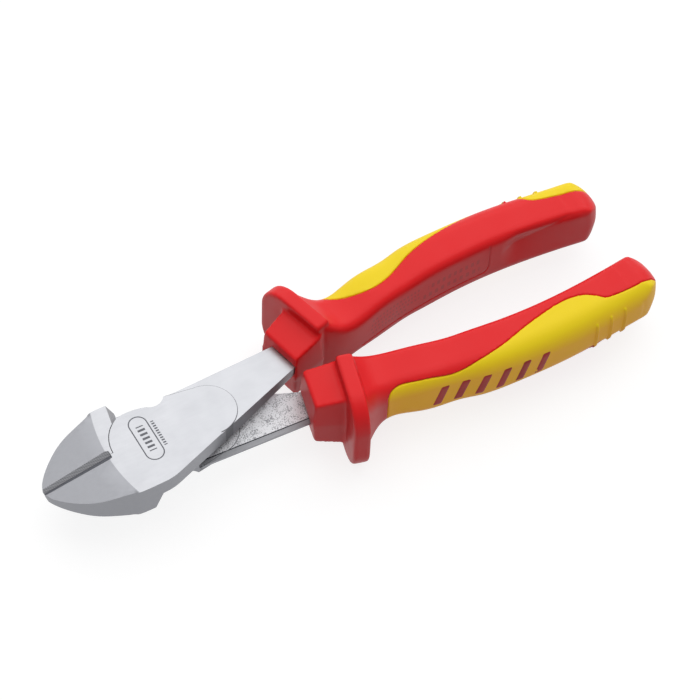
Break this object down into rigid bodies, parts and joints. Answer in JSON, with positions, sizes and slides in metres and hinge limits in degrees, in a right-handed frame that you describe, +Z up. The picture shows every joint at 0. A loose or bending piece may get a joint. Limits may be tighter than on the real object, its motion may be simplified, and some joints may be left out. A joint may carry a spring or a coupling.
{
  "type": "insulated diagonal cutting pliers",
  "caption": "Diagonal cutting pliers: a pair of forged steel levers on a pressed rivet, with insulated hand guards and soft grips on bowed handles.",
  "frame": {"origin": "centre of the bounding box in plan, on the surface the closed tool lies on (the undersides of its guards)", "axes": "+X from the jaw tip to the handle ends, +Z up out of the ground pivot plate, +Y toward the handle of the upper lever"},
  "size_m": [0.18, 0.0546, 0.0264],
  "materials": {
    "tool_steel": "satin chrome over ground and forged steel",
    "rivet_steel": "ground flush",
    "insulation": "matte",
    "red_shell": "satin",
    "yellow_grip": "satin"
  },
  "bodies": {
    "upper_half": {"upper_lever": "tool_steel", "pivot_rivet": "rivet_steel", "upper_liner": "insulation", "upper_handle_shell": "red_shell", "upper_soft_grip": "yellow_grip"},
    "lower_half": {"lower_lever": "tool_steel", "lower_liner": "insulation", "lower_handle_shell": "red_shell", "lower_soft_grip": "yellow_grip"}
  },
  "joints": [
    {"name": "pivot", "type": "hinge", "parent": "upper_half", "child": "lower_half", "pos_m": [-0.0588, 0, 0.0132], "axis": [0, 0, -1], "range_deg": [0, 58]}
  ]
}
